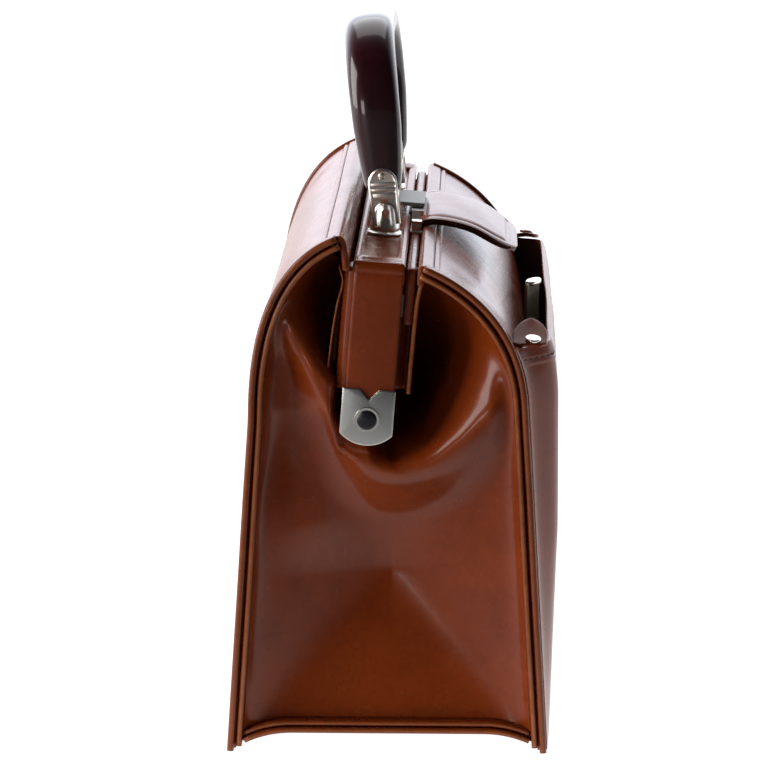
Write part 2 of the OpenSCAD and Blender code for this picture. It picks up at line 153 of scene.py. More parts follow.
def in_frame(v, w):
    """(y, z) of a point in the frame's leaning coordinates."""
    return (HINGE[0] + v * math.cos(LEAN) - w * math.sin(LEAN),
            HINGE[1] + v * math.sin(LEAN) + w * math.cos(LEAN))


def in_handle(v, w):
    return (PIN[0] + v * math.cos(HANDLE_LEAN) + w * math.sin(HANDLE_LEAN),
            PIN[1] - v * math.sin(HANDLE_LEAN) + w * math.cos(HANDLE_LEAN))


# ---- meshes

def mesh(name, verts, faces, mats, wear_and_highlight=None, which=None):
    """A smooth shaded object from points in mm. which gives each face's material."""
    me = bpy.data.meshes.new(name)
    me.from_pydata((np.asarray(verts, float) * MM).tolist(), [], [list(map(int, f)) for f in faces])
    mats = mats if isinstance(mats, (list, tuple)) else [mats]
    for m in mats:
        me.materials.append(m)
    me.polygons.foreach_set("use_smooth", [True] * len(me.polygons))
    if which is not None:
        me.polygons.foreach_set("material_index", list(map(int, which)))
    if wear_and_highlight is not None:
        me.attributes.new("wear_and_highlight", "FLOAT", "POINT").data.foreach_set(
            "value", np.asarray(wear_and_highlight, np.float32).ravel())
    me.validate()
    me.update()
    ob = bpy.data.objects.new(name, me)
    bpy.context.scene.collection.objects.link(ob)
    return ob


def quads(nu, nv, close_v=False, start=0, flip=False):
    """Faces of a grid of nu x nv points. close_v joins each row's end to its start."""
    out = []
    for i in range(nu - 1):
        for j in range(nv - (not close_v)):
            a, j2 = start + i * nv, (j + 1) % nv
            f = [a + j, a + nv + j, a + nv + j2, a + j2]
            out.append(f[::-1] if flip else f)
    return out


def grid(*ends):
    """Coordinates of a sheet's points, from (start, end, count) along each of its two ways."""
    return np.meshgrid(*(np.linspace(*e) for e in ends), indexing="ij")


def surface_normals(P):
    return unit(np.cross(np.gradient(P, axis=0), np.gradient(P, axis=1)))


def sheet_mesh(name, P, t, mats, wear_and_highlight=None, out=None):
    """A sheet of thickness t behind the surface P. mats: outside, inside. out: a rough way outwards."""
    nu, nv = P.shape[:2]
    N = surface_normals(P)
    away = P - np.array([0, 0, 90.0]) if out is None else np.array(out, float)
    flip = (N * away).sum() < 0
    if flip:
        N = -N
    mid = P - N * t * 0.5
    Q = P - N * t
    ring = ([(0, j) for j in range(nv)] + [(i, nv - 1) for i in range(1, nu)]
            + [(nu - 1, j) for j in range(nv - 2, -1, -1)] + [(i, 0) for i in range(nu - 2, 0, -1)])
    c = np.array([P[min(max(i, 1), nu - 2), min(max(j, 1), nv - 2)] for i, j in ring])
    edge = np.array([P[i, j] for i, j in ring])
    rim = np.array([mid[i, j] for i, j in ring]) + unit(edge - c) * t * 0.32
    V = np.concatenate([P.reshape(-1, 3), Q.reshape(-1, 3), rim])
    n = nu * nv
    F = quads(nu, nv, flip=flip) + quads(nu, nv, start=n, flip=not flip)
    which = [0] * ((nu - 1) * (nv - 1)) + [1] * ((nu - 1) * (nv - 1))
    m = len(ring)
    for k in range(m):
        a, b = ring[k], ring[(k + 1) % m]
        ia, ib = a[0] * nv + a[1], b[0] * nv + b[1]
        ra, rb = 2 * n + k, 2 * n + (k + 1) % m
        F += [[ia, ib, rb, ra], [ra, rb, n + ib, n + ia]]
        which += [len(mats) - 1 if len(mats) > 2 else 0] * 2
    w = None
    if wear_and_highlight is not None:
        w = np.concatenate([wear_and_highlight.ravel(), wear_and_highlight.ravel() * 0,
                            np.array([wear_and_highlight[i, j] for i, j in ring])])
    ob = turn_out(mesh(name, V, F, mats, w, which))
    rim_edges = {tuple(sorted((a[0] * nv + a[1], b[0] * nv + b[1])))
                 for a, b in zip(ring, ring[1:] + ring[:1])}
    me = ob.data
    sharp = me.attributes.new("sharp_edge", "BOOLEAN", "EDGE")
    for e in me.edges:
        if tuple(sorted(e.vertices)) in rim_edges:
            sharp.data[e.index].value = True
    return ob


def loft(name, rings, mat, wear_and_highlight=None):
    """A closed tube through n rings of m points. wear: one row for every ring."""
    rings = np.array(rings)
    n, m = rings.shape[:2]
    F = quads(n, m, close_v=True)
    F += [list(range(m)), [(n - 1) * m + k for k in range(m - 1, -1, -1)]]
    w = None if wear_and_highlight is None else np.tile(wear_and_highlight, n)
    return turn_out(mesh(name, rings.reshape(-1, 3), F, mat, w))


def sweep_yz(name, path, profile, side, mat, wear_and_highlight, x_sign):
    """Sweeps a closed profile of (x, offset) along a path of (y, z), offset to the path's side."""
    n = normals2(path, side)
    R = np.zeros((len(path), len(profile), 3))
    for j, (x, o) in enumerate(profile):
        R[:, j, 0] = x_sign * x
        R[:, j, 1:] = path + n * o
    return loft(name, R, mat, wear_and_highlight)


def lathe(name, profile, place, mat, around=40):
    """Turns a profile of (radius, height). place(x, y, h) gives the point in mm."""
    turn = np.linspace(0, 2 * math.pi, around, endpoint=False)
    return loft(name, [[place(r * math.cos(t), r * math.sin(t), h) for t in turn]
                       for r, h in profile], mat)


def prism(name, outline, x0, x1, mat, at=lambda y, z, x: (x, y, z)):
    """A flat solid from an outline of two numbers a point, between two stations along the bag."""
    n = len(outline)
    V = [at(*p, x) for x in (x0, x1) for p in outline]
    F = [list(range(n)), list(range(2 * n - 1, n - 1, -1))]
    F += [[i, n + i, n + (i + 1) % n, (i + 1) % n] for i in range(n)]
    return turn_out(mesh(name, V, F, mat))


def join(name, objs):
    """Joins objects into one mesh."""
    V, F, W, which, mats = [], [], [], [], []
    wear_and_highlight_on = any("wear_and_highlight" in o.data.attributes for o in objs)
    start = 0
    for o in objs:
        me = o.data
        V += [v.co / MM for v in me.vertices]
        F += [[start + i for i in p.vertices] for p in me.polygons]
        for m in me.materials:
            if m not in mats:
                mats.append(m)
        which += [mats.index(me.materials[p.material_index]) for p in me.polygons]
        if wear_and_highlight_on:
            a = me.attributes.get("wear_and_highlight")
            W += [d.value for d in a.data] if a else [0.0] * len(me.vertices)
        start += len(me.vertices)
        bpy.data.objects.remove(o)
    return mesh(name, V, F, mats, W if wear_and_highlight_on else None, which)


def turn_out(ob):
    """Makes a closed mesh's faces look outwards."""
    bm = bmesh.new()
    bm.from_mesh(ob.data)
    bmesh.ops.recalc_face_normals(bm, faces=bm.faces)
    bm.to_mesh(ob.data)
    bm.free()
    return ob


def soften(ob, width, segments=3, angle=35):
    """Rounds sharp edges with a bevel, so metal and boards catch light along them."""
    b = ob.modifiers.new("edge", "BEVEL")
    b.width = width * MM
    b.segments = segments
    b.limit_method = "ANGLE"
    b.angle_limit = math.radians(angle)
    return ob


def subdivide(ob):
    s = ob.modifiers.new("soft", "SUBSURF")
    s.levels = s.render_levels = 1


def stitches(name, points, up, pitch, length, radius, sink):
    """A row of thread stitches along points in mm, up being the surface's normals there."""
    a = arc_length(points)
    V, F = [], []
    count = int(a[-1] / pitch)
    shape = [(-0.5, 0.05), (-0.38, 0.8), (0, 1.0), (0.38, 0.8), (0.5, 0.05)]
    for k in range(count):
        s = (k + 0.5) * a[-1] / count
        c, e = at_lengths(points, [s, s + 0.5])
        if s + 0.5 > a[-1]:
            e = 2 * c - at_lengths(points, s - 0.5)
        n = follow(s, a, up)
        t = unit(e - c)
        n = unit(n - t * (n @ t))
        b = np.cross(t, n)
        start = len(V)
        for f, r in shape:
            arch = -sink - 0.35 * radius * (2 * f) ** 2
            for q in range(6):
                an = math.pi * q / 3
                V.append(c + t * f * length + n * (arch + radius * r * math.sin(an) * 0.8)
                         + b * radius * r * math.cos(an))
        F += quads(5, 6, close_v=True, start=start, flip=True)
        F.append([start + q for q in range(5, -1, -1)])
        F.append([start + 24 + q for q in range(6)])
    return mesh(name, V, F, THREAD)


# ---- materials

def empty_tree(owner):
    owner.use_nodes = True
    owner.node_tree.nodes.clear()
    return owner.node_tree


def material(name):
    m = bpy.data.materials.new(name)
    return m, empty_tree(m)


def node(nt, kind, inputs, **settings):
    """A shader node. Its inputs, by name or number, are values or other nodes' sockets."""
    n = nt.nodes.new("ShaderNode" + kind)
    for key, value in settings.items():
        setattr(n, key, value)
    for key, value in inputs.items():
        if isinstance(value, bpy.types.NodeSocket):
            nt.links.new(value, n.inputs[key])
        else:
            n.inputs[key].default_value = value
    return n


def surface(nt, inputs):
    """Ends a material's tree with a Principled shader."""
    sh = node(nt, "BsdfPrincipled", inputs)
    node(nt, "OutputMaterial", {"Surface": sh.outputs[0]})


def coords(nt, scale=(1, 1, 1)):
    at = node(nt, "TexCoord", {}).outputs["Object"]
    return node(nt, "Mapping", {"Vector": at, "Scale": scale}).outputs[0]


def noise_node(nt, vec, scale, detail, rough):
    n = node(nt, "TexNoise", {"Vector": vec, "Scale": scale, "Detail": detail, "Roughness": rough})
    return n.outputs["Fac"]


def ramp(nt, fac, stops):
    """Colours or grey levels for fac, in stops of (position, colour)."""
    r = node(nt, "ValToRGB", {0: fac})
    e = r.color_ramp.elements
    while len(e) < len(stops):
        e.new(0.5)
    for el, (pos, col) in zip(e, stops):
        el.position = pos
        el.color = (*col, 1) if len(col) == 3 else (col[0],) * 3 + (1,)
    return r.outputs[0]


def map_range(nt, value, start, end, low, high, soft=False):
    """Takes a value from start..end to low..high, in a soft step where asked."""
    ends = {"From Min": start, "From Max": end, "To Min": low, "To Max": high}
    step = "SMOOTHSTEP" if soft else "LINEAR"
    return node(nt, "MapRange", {"Value": value, **ends}, interpolation_type=step).outputs[0]


def product(nt, a, b):
    return node(nt, "Math", {0: a, 1: b}, operation="MULTIPLY").outputs[0]


def mix(nt, fac, a, b, mode="MIX"):
    a, b = ((*c, 1) if isinstance(c, tuple) else c for c in (a, b))
    inputs = {"Factor": fac, 6: a, 7: b}
    return node(nt, "Mix", inputs, data_type="RGBA", blend_type=mode).outputs[2]


def bump(nt, height, distance, strength, before=None):
    inputs = {"Height": height, "Distance": distance, "Strength": strength}
    if before is not None:
        inputs["Normal"] = before
    return node(nt, "Bump", inputs).outputs[0]


def leather_material(name, base, dark, light, grain=0.06):
    """Glazed leather. Its light colour shows through where the mesh's attribute for rubbed wear and
    painted highlight is above 0.
    """
    m, nt = material(name)
    v = coords(nt)
    cloud = noise_node(nt, v, 34, 4, 0.6)
    fine = noise_node(nt, v, 420, 3, 0.6)
    colour = ramp(nt, cloud, [(0.25, dark), (0.5, base), (0.75, tuple(1.12 * c for c in base))])
    speck = ramp(nt, fine, [(0.35, (0.86,)), (0.65, (1.08,))])
    colour = mix(nt, 0.6, colour, speck, "MULTIPLY")
    # rubbed wear on edges and crests, and a painted highlight along the ends' lips
    wear_and_highlight_on = node(nt, "Attribute", {}, attribute_name="wear_and_highlight").outputs["Fac"]
    patchy = ramp(nt, noise_node(nt, v, 160, 3, 0.6), [(0.25, (0.45,)), (0.7, (1.0,))])
    colour = mix(nt, product(nt, wear_and_highlight_on, patchy), colour, light)
    rough = map_range(nt, noise_node(nt, v, 90, 3, 0.6), 0, 1, 0.22, 0.31)
    cells = node(nt, "TexVoronoi", {"Vector": v, "Scale": 1500, "Smoothness": 0.6},
                 feature="SMOOTH_F1")
    b = bump(nt, noise_node(nt, v, 26, 2, 0.45), 0.0012, 0.035)
    b = bump(nt, fine, 0.0002, 0.03, b)
    b = bump(nt, cells.outputs["Distance"], 0.0002, grain, b)
    surface(nt, {"Base Color": colour, "Roughness": rough, "Normal": b,
                 "Specular IOR Level": 0.2, "Coat Weight": 0.17, "Coat Roughness": 0.12})
    return m


def metal_material(name, colour, rough, brush=(1, 1, 1), scale=300, strength=0.02):
    """A metal. brush: how dense its fine marks are along each axis."""
    m, nt = material(name)
    lines = noise_node(nt, coords(nt, brush), scale, 4, 0.7)
    smear = noise_node(nt, coords(nt), 60, 3, 0.6)
    darker = tuple(0.88 * c for c in colour)
    surface(nt, {"Base Color": mix(nt, smear, darker, colour), "Metallic": 1.0,
                 "Roughness": map_range(nt, lines, 0, 1, rough * 0.75, rough * 1.3),
                 "Normal": bump(nt, lines, 0.0001, strength)})
    return m


def cloth_material(name, base, dark, scale=900):
    m, nt = material(name)
    v = coords(nt)
    waves = [node(nt, "TexWave", {"Vector": v, "Scale": scale / 6, "Distortion": 0.6},
                  bands_direction=axis).outputs["Fac"] for axis in ("X", "Z")]
    weave = product(nt, *waves)
    cloud = noise_node(nt, v, 45, 4, 0.6)
    threads = ramp(nt, weave, [(0.0, (0.7,)), (0.8, (1.15,))])
    colour = mix(nt, 0.35, mix(nt, cloud, dark, base), threads, "MULTIPLY")
    surface(nt, {"Base Color": colour, "Normal": bump(nt, weave, 0.0003, 0.4),
                 "Roughness": 0.85, "Sheen Weight": 0.2})
    return m


def lacquer_material(name, base, streak):
    m, nt = material(name)
    grain = noise_node(nt, coords(nt, (1, 1, 0.12)), 120, 5, 0.6)
    ripple = noise_node(nt, coords(nt), 30, 2, 0.4)
    surface(nt, {"Base Color": ramp(nt, grain, [(0.35, base), (0.75, streak)]),
                 "Normal": bump(nt, ripple, 0.0004, 0.05), "Roughness": 0.24,
                 "Specular IOR Level": 0.22, "Coat Weight": 0.6, "Coat Roughness": 0.07})
    return m


def plain_material(name, a, b, rough, scale, height=0.0003, strength=0.3):
    """Two colours in fine noise, with the same noise as a bump."""
    m, nt = material(name)
    n = noise_node(nt, coords(nt), scale, 4, 0.65)
    surface(nt, {"Base Color": mix(nt, n, a, b), "Normal": bump(nt, n, height, strength),
                 "Roughness": rough})
    return m


LEATHER = leather_material("leather_cognac", (0.185, 0.029, 0.004), (0.14, 0.02, 0.003),
                           (0.36, 0.11, 0.03))
EDGE = leather_material("leather_rubbed_edge", (0.14, 0.023, 0.004), (0.09, 0.013, 0.003),
                        (0.36, 0.12, 0.035), grain=0.16)
# near-black cut edge of the flap: dark edge paint, deepened as painted shadow for the gap under the
# flap's raised edge
EDGE_PAINT_AND_SHADOW = leather_material("leather_edge_paint_and_shadow", (0.03, 0.007, 0.004), (0.018, 0.004, 0.003),
                             (0.1, 0.03, 0.015), grain=0.1)
LINING = cloth_material("lining_tan", (0.30, 0.22, 0.13), (0.2, 0.14, 0.08))
STRAP_CLOTH = cloth_material("strap_khaki", (0.62, 0.57, 0.43), (0.45, 0.4, 0.29), 1400)
BRIGHT = metal_material("nickel_bright", (0.96, 0.93, 0.86), 0.3)
SATIN = metal_material("nickel_satin", (0.6, 0.6, 0.58), 0.32, (1, 1, 0.03), 2600, 0.25)
POLISHED = metal_material("nickel_polished", (0.9, 0.87, 0.8), 0.19)
DULL = metal_material("nickel_dull", (0.2, 0.2, 0.19), 0.5, (1, 1, 0.05), 1800, 0.2)
STEEL = metal_material("steel_strip", (0.4, 0.4, 0.42), 0.4, (1, 1, 0.1), 900, 0.2)
BLACK = plain_material("cap_black", (0.006, 0.006, 0.008), (0.012, 0.012, 0.016), 0.25, 500,
                             0.0001, 0.08)
LACQUER = lacquer_material("lacquer_maroon", (0.014, 0.003, 0.005), (0.035, 0.006, 0.009))
THREAD = plain_material("thread_brown", (0.06, 0.02, 0.01), (0.11, 0.04, 0.02), 0.7, 3000)
BOARD = plain_material("fibre_board", (0.05, 0.035, 0.02), (0.09, 0.06, 0.035), 0.8, 900)


# ---- walls

BROW_F, BROW_B = (-13.2, 178.0), (18.0, 188.5)
LOW_F, LOW_B = np.linspace(0, 127, 40), np.linspace(0, 122, 40)
front_rise = np.concatenate([
    np.stack([front_y(LOW_F), LOW_F], 1),
    bezier((-49.5, 128), (-48, 157), (-28, 172), BROW_F)])
back_rise = np.concatenate([
    np.stack([back_y(LOW_B), LOW_B], 1),
    bezier((48.5, 123), (48.5, 160), (37, 181), BROW_B)])
front_tuck = np.array([(-12.3, 178.0), (-11.7, 177.2), (-11.5, 175.5), (-11.3, 171.5)])
back_tuck = np.array([(16.6, 188.6), (15.3, 187.8), (14.7, 186.2), (14.2, 183), (13.6, 177)])


def along(z, path):
    return np.interp(z, path[:, 1], path[:, 0])


def wall(name, rise, tuck, side, node_low, node_up, body):
    """One side wall: a stiffened leather sheet with a turned and stitched top band."""
    rise = relax(resample(rise, 1.0), 6)
    top = arc_length(rise)[-1]
    s = np.unique(np.concatenate([np.arange(0, top - 9, 3.0), np.arange(top - 9, top, 0.4), [top]]))
    path = np.concatenate([at_lengths(rise, s), resample(tuck, 0.8)])
    path[0, 1] = 1.0
    s = arc_length(path)
    x = np.linspace(-117, 117, 79)
    S, X = np.meshgrid(s, x, indexing="ij")
    e = top - S
    edge = np.abs(X) / 117
    off = 0.7 * smooth((top - 25 - S) / 60) * (1 - edge ** 4) * smooth(S / 40) * 1.6
    off = off + 0.3 * noise(X / 46, S / 40, 5 if side > 0 else 9) * (1 - edge ** 6) * smooth(S / 30)
    off = off - 0.9 * bell((np.abs(X) - 92) / 13) * bell((e - 26) / 12)
    off = off + 0.5 * smooth((7.2 - e) / 0.9) - 0.55 * bell((e - 4.8) / 0.42)
    n = normals2(path, side)
    P = np.dstack([X, path[:, None, :] + n[:, None, :] * off[:, :, None]])
    wear_and_highlight = 0.25 * bell((e - 7.0) / 0.6) + 0.35 * bell((e + 0.5) / 1.0)
    ob = sheet_mesh(name, P, 2.4, [LEATHER, LINING], wear_and_highlight)
    bend(ob, body, "leather", node_low, node_up)
    # the band's thread
    k = int(np.argmin(np.abs(s - (top - 4.8))))
    up = np.zeros((75, 3))
    up[:, 1:] = n[k]
    th = stitches(name + "_thread", P[k, 2:-2], up, 3.4, 2.5, 0.3, -0.1)
    bend(th, body, "leather_edge")


wall("front_wall", front_rise, front_tuck, 1, "front_panel_lower", "front_panel_upper",
     "front_frame_half")
wall("back_wall", back_rise, back_tuck, -1, "back_panel_lower", "back_panel_upper",
     "back_frame_half")


def ridge(x_top, o_out, o_in, foot):
    """Half of a folded seam: a rounded rib between two offsets, its crest at x_top."""
    mid, half = (o_out + o_in) / 2, (o_out - o_in) / 2
    pts = [(foot, o_out)]
    for a in np.linspace(0, math.pi, 9):
        pts.append((x_top - half + half * math.sin(a), mid + half * math.cos(a)))
    pts.append((foot, o_in))
    return pts


def crest_wear(power):
    """How rubbed each point of a ridge is: most at its crest."""
    return np.array([0, *np.abs(np.sin(np.linspace(0, math.pi, 9))) ** power, 0])


def seams(name, rise, side, nodes, body):
    """The folded end seams of one wall: two rubbed ribs with a dark groove between them."""
    made = []
    rise = relax(resample(rise, 1.0), 6)
    path = resample(rise, 2.2)
    path[:, 1] = np.maximum(path[:, 1], 0.25)
    for mirror in (-1, 1):
        for kind, (o_out, o_in, crest) in (("outer", (0.9, -1.6, 120.0)),
                                           ("inner", (-2.3, -4.5, 119.6))):
            prof = ridge(crest, o_out, o_in, 114.5)
            wear_and_highlight_on = crest_wear(5) * (0.44 if kind == "outer" else 0.88)
            wob = 0.14 * noise(arc_length(path) / 16, 0 * path[:, 0], 21 + (kind == "inner"), 5)
            p = path + normals2(path, side) * wob[:, None]
            if kind == "inner":
                p = p[arc_length(p) > 1.5]
            made.append(sweep_yz(f"{name}_{kind}", p, prof, side, EDGE, wear_and_highlight_on, mirror))
    ob = join(name, made)
    bend(ob, body, "leather_edge", *nodes)


seams("front_seams", front_rise, 1, ("front_welts_lower", "front_welts_upper"), "front_frame_half")
seams("back_seams", back_rise, -1, ("back_welts_lower", "back_welts_upper"), "back_frame_half")


# ---- gussets

LIP_Y = np.array([-47, -42.4, -36.8, -28.3, -16.9, -5.6, 1.5, 6, 10, 14, 18.3, 26.5, 31.5, 38])
LIP_Z = np.array([142, 135.2, 128.5, 117.5, 108, 104, 104.8, 107.6, 113.5, 123.5, 133.5, 145.4,
                  153.3, 165])


def lip(y):
    return sum(np.interp(y + k, LIP_Y, LIP_Z) for k in (-3, -1.5, 0, 1.5, 3)) / 5


def foot_arch(y):
    """Height of the bottom edge of an end: an arch that comes down at both walls."""
    t = np.clip((np.abs(y + 0.5) - 34) / 20, 0, 1)
    return 8.9 - 5.0 * t ** 2.2


LIP_LINE = np.stack([np.linspace(-60, 60, 481), lip(np.linspace(-60, 60, 481))], 1)


def above_lip(y, z):
    """Distance from the lip's line, in mm: more than 0 in the pouch above it."""
    gap = np.stack([y, z + 0 * y], 1)[:, None, :] - LIP_LINE[None, :, :]
    return np.where(z > lip(y), 1, -1) * np.sqrt(np.square(gap).sum(2).min(1))


def gusset_depth(y, z, s):
    """How far the end sheet lies behind its seams, in mm. s is the way in from the wall's seam."""
    rear = smooth((y - 1) / 12)
    h = above_lip(y, z)
    # turned in from the seam
    d = 0.8 + 3.4 * (1 - np.exp(-s / 2.6))
    # the flat lower part is dented like a shallow hopper, with soft creases to its four corners
    across = np.abs(y + 1) / 47
    steep = lerp(across, [0, 0.32, 0.57, 1.0, 1.4], [0, 0.42, 0.80, 1.0, 1.1])
    a = across + (steep - across) * smooth((y - 2) / 8) * smooth((z - 62) / 22)
    b = np.where(z > 63, (z - 63) / 60, (63 - z) / 54)
    k = 9.0
    m = np.log((np.exp(k * a) + np.exp(k * b)) / 2) / k
    d = d + 18.0 * np.clip(1 - m, 0, 1) * smooth(-(h - 7) / 30)
    # the lip below the hinge
    lit = smooth(s / 9)
    wide = np.where(h < -2.5, 10 - 4.2 * rear, 7.5 - 2.5 * rear)
    d = d - (3.8 + 0.9 * rear) * bell((h + 2.5) / wide) * lit
    # the pouch that goes in above it, deepest beside the frame
    reach = 27 - 11 * rear
    far = np.clip(s / (32 - 12 * rear), 0, 1.3) ** 1.15
    d = d + (46 - 8 * rear) * smooth(h / reach) ** 0.85 * (0.05 + 0.95 * far)
    d = d + 3.2 * rear * bell((s - 7.5) / 7) * smooth((z - 84) / 34) * smooth((158 - z) / 14)
    # wrinkles where the lip runs into the pocket side's seam
    ripple = np.sin((z + 0.6 * y) / 2.4) * bell((s - 8) / 5) * bell((z - 131) / 9)
    d = d + 0.4 * (1 - rear) * ripple
    # a sharp crease from the foot of the hinge plate down to the lip
    c = y - (-1.6 - 0.22 * (114.6 - z))
    return d + 2.2 * bell(c / 2.2) * smooth((z - 104) / 5) * smooth((124 - z) / 6)


def gusset(side, end, rear):
    """One half of an end: from its wall's seam to the line below the hinge."""
    rise = back_rise if rear else front_rise
    low = np.linspace(0, 1, 120)
    v = np.concatenate([low * 174.5, np.linspace(175.5, 184, 8)]) if rear else low * 174.5
    u = np.linspace(0, 1, 66) ** 0.92
    P = np.zeros((len(v), len(u), 3))
    wear_and_highlight = np.zeros((len(v), len(u)))
    sgn = 1 if rear else -1
    for i, level in enumerate(v):
        q = min(1.0, level / 174.5)
        z = max(level, 10 + 164.5 * q)
        y_wall = along(z, rise) - sgn * 4.4
        y_mid = 7.0 - max(0.0, z - 123) * math.tan(LEAN)
        y = y_wall + (y_mid - y_wall) * u
        foot = foot_arch(y) + 0.4
        if level <= 174.5:
            zz = foot + (174.5 - foot) * q
        else:
            zz = 174.5 + (level - 174.5) * smooth((y - 15) / 8)
        s = np.abs(along(zz, rise) - sgn * 4.4 - y)
        d = gusset_depth(y, zz, s)
        behind = smooth((zz - 116) / 14) * smooth((14 - np.abs(y - y_mid)) / 5)
        d = np.maximum(d, behind * 20)
        by_plate = smooth((14.5 - np.abs(y - 7)) / 6) * smooth((zz - 106) / 9)
        d = np.clip(d, by_plate * 5.4, 58)
        P[i] = np.stack([side * (118.2 - d), y, zz], 1)
        # a lighter band just under the lip's crest, in the leather's light colour: a painted highlight
        # along the fold, carried in the same attribute as the rubbed wear
        wear_and_highlight[i] = 0.16 * bell((zz - lip(y) + 1.5) / 2.0) * smooth((46 - np.abs(y)) / 10)
    half = "back" if rear else "front"
    ob = sheet_mesh(f"gusset_{end}_{half}", P, 1.5, [LEATHER, LINING], wear_and_highlight, (side, 0, 0))
    bend(ob, f"{half}_frame_half", "leather", f"gusset_{end}_" + ("lower" if rear else "upper"))


for side, end in ENDS:
    gusset(side, end, True)
    gusset(side, end, False)


# ---- bottom

def bottom():
    X, Y = grid((-116.5, 116.5, 60), (-53.2, 53.2, 40))
    rise = foot_arch(Y) - 3.0
    Z = rise * (0.55 + 0.45 * smooth((np.abs(X) - 60) / 56)) + 1.2 + 0.3 * noise(X / 40, Y / 20, 3)
    P = np.dstack([X, Y, Z])
    ob = sheet_mesh("bottom_leather", P, 1.6, [LEATHER, LEATHER], None, (0, 0, -1))
    subdivide(ob)
    ride(ob, "bag_body", "leather", "bottom_panel")
    # seams along the foot of each end, two ribs one above the other
    made = []
    y = np.linspace(-51.5, 51.5, 60)
    for side in (-1, 1):
        for up, rad, reach, w in ((-1.0, 1.05, 119.3, 0.5), (1.5, 0.95, 118.3, 0.35)):
            path = np.stack([y, foot_arch(y) + up], 1)
            prof = ridge(reach, rad, -rad, 112.5)
            made.append(sweep_yz("foot_rib", path, prof, 1, EDGE, crest_wear(4) * w, side))
    ob = join("foot_seams", made)
    ride(ob, "bag_body", "leather_edge")
    # stiffener
    X, Y = grid((-110, 110, 30), (-48, 48, 20))
    Z = 11.4 + 0.15 * noise(X / 50, Y / 30, 4)
    ob = sheet_mesh("stiffener", np.dstack([X, Y, Z]), 2.0, [BOARD, BOARD], None, (0, 0, 1))
    ride(ob, "bag_body", "board", "base_board")


bottom()


# ---- lining and inner pocket

def lining():
    """An open cloth box with soft walls, as one sheet: floor, walls and top edge."""
    zs = np.concatenate([np.linspace(13.2, 20, 5), np.linspace(26, 103, 22)])
    rings = []
    for z in zs:
        yf, yb = front_y(z) + 4.0, back_y(z) - 4.0
        corners = np.array([(-109, yf), (109, yf), (109, yb), (-109, yb)])
        for c in range(4):
            way = corners[(c + 1) % 4] - corners[c]
            inward = unit(np.array([-way[1], way[0]]))
            m = 20 if c % 2 else 40
            t = np.linspace(0, 1, m, endpoint=False)[:, None]
            sag = 1.0 + 0.9 * noise(t * 9.0 + c, z / 14, 31 + c)
            round_in = 3.0 * (bell(t * m / 1.5) + bell((1 - t) * m / 1.5))
            dent = 20.0 * bell((z - 63) / 38) * bell((t - 0.5) / 0.34) * (c % 2)
            low = 2.5 * bell((z - 13) / 4)
            P = corners[c] + way * t + inward * (sag * smooth((z - 13) / 8) + round_in + low + dent)
            rings.append(np.concatenate([P, z + 0 * t], 1))
    R = np.concatenate(rings).reshape(len(zs), -1, 3)
    m = R.shape[1]
    share = np.array([[0.25], [0.5], [0.75], [0.9]])
    X, Y = R[0, :, 0] * share, R[0, :, 1] * share
    R = np.concatenate([np.dstack([X, Y, 12.9 + 0.12 * noise(X / 20, Y / 16, 12)]), R])
    V = [*R.reshape(-1, 3), (0, 0, 12.9)]
    F = quads(len(R), m, close_v=True)
    F += [[len(V) - 1, (k + 1) % m, k] for k in range(m)]
    ob = mesh("lining_bag", V, F, LINING)
    so = ob.modifiers.new("thick", "SOLIDIFY")
    so.thickness = 0.7 * MM
    so.offset = 0
    ride(ob, "bag_body", "lining_cloth", "lining")
    # slip pocket on the back wall
    X, Z = grid((-75, 75, 50), (45, 92, 22))
    stand = 1.6 + 2.6 * smooth((Z - 60) / 30) * (1 - (X / 75) ** 2) + 0.4 * noise(X / 18, Z / 14, 44)
    stand = stand + 0.5 * bell((Z - 89) / 1.6)
    Y = back_y(Z) - 6.4 - stand
    ob = sheet_mesh("slip_pocket", np.dstack([X, Y, Z]), 0.8, [LINING, LINING], None, (0, -1, 0))
    ride(ob, "bag_body", "lining_cloth", "inner_pocket")
    row = np.stack([X[:, -1], Y[:, -1], Z[:, -1] - 2.2], 1)
    th = stitches("slip_pocket_thread", row, np.tile([0, -1.0, 0], (len(row), 1)), 3, 2.2, 0.28, -0.25)
    ride(th, "bag_body", "lining_cloth")


lining()


# ---- front pocket

POCKET_TOP = 149.0
PK_Z = np.array([1.0, 30, 80, 118, 136, 149])
PK_M = np.array([1.6, 4.4, 8.9, 11.0, 12.0, 13.4])


def pocket_stand(x, z):
    """How far the pocket's outer face stands off the wall."""
    full = np.interp(z, PK_Z, PK_M)
    end = np.minimum(1.0, 0.6 * full)
    t = np.clip((116.6 - np.abs(x)) / 15, 0, 1)
    turn = 0.4 * t + 0.6 * smooth(t)
    slack = 0.6 * bell(x / 70) * smooth((z - 90) / 50) + 0.35 * noise(x / 34, z / 30, 17)
    return end + (full - end) * turn + slack * smooth((113 - np.abs(x)) / 20) * smooth(z / 30)


